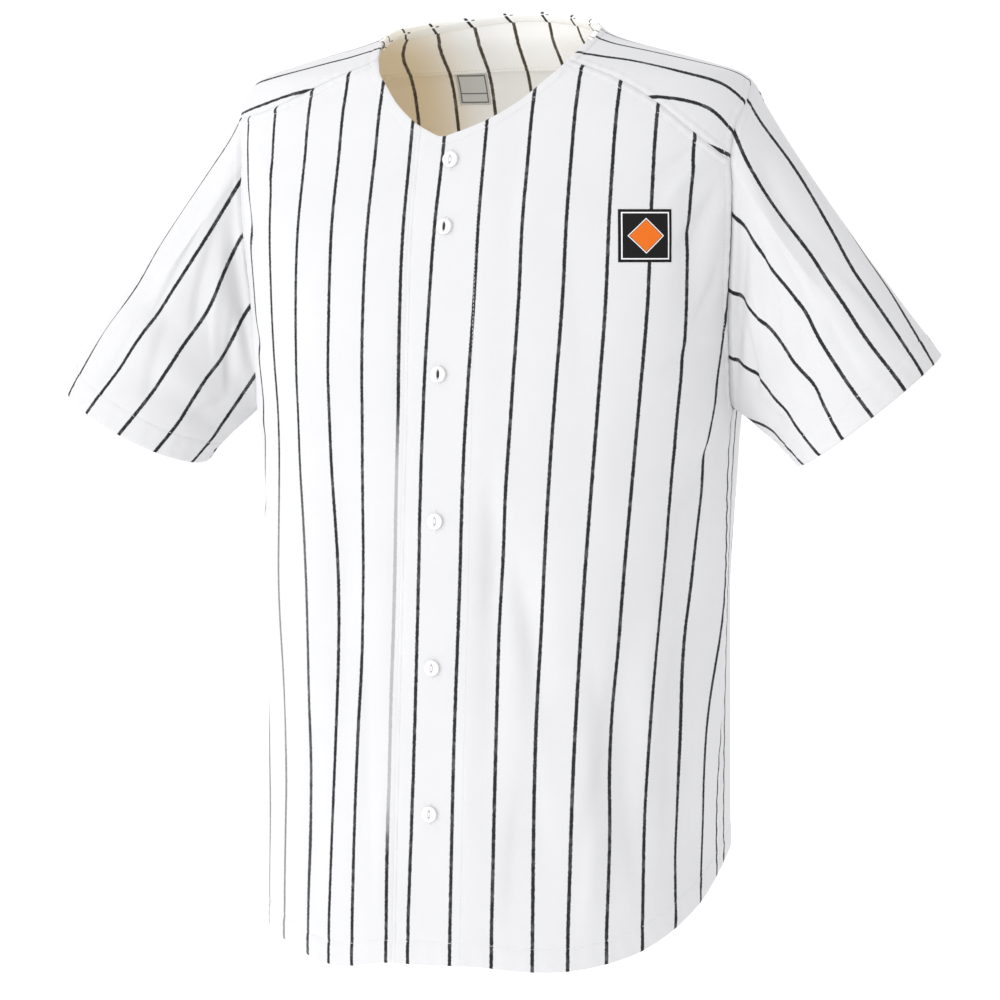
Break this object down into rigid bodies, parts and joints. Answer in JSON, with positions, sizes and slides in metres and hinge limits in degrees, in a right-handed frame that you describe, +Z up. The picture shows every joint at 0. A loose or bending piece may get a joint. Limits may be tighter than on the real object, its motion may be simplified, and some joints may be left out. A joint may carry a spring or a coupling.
{
  "type": "baseball jersey",
  "caption": "Short-sleeved collarless button-front baseball jersey with shoulder saddles and a shirt-tail hem, filled out as if worn.",
  "frame": {"origin": "in the neck opening, level with the two points where neck and shoulder meet", "axes": "+Z up, the front faces -Y, the wearer's left arm is on +X"},
  "size_m": [0.7407, 0.2837, 0.7507],
  "materials": {
    "white_cloth": "matt plain-woven polyester",
    "inside_cloth": "matt, the inside of the same cloth",
    "label_satin": "soft woven satin",
    "button_resin": "polished"
  },
  "bodies": {
    "root": {"front_left": "white_cloth", "front_right": "white_cloth", "back": "white_cloth", "saddle_left": "white_cloth", "saddle_right": "white_cloth", "sleeve_left": "white_cloth", "sleeve_right": "white_cloth", "back_neck_facing": "inside_cloth", "neck_binding": "white_cloth", "neck_label": "label_satin", "button_1": "button_resin", "button_2": "button_resin", "button_3": "button_resin", "button_4": "button_resin", "button_5": "button_resin", "button_6": "button_resin"}
  },
  "joints": []
}
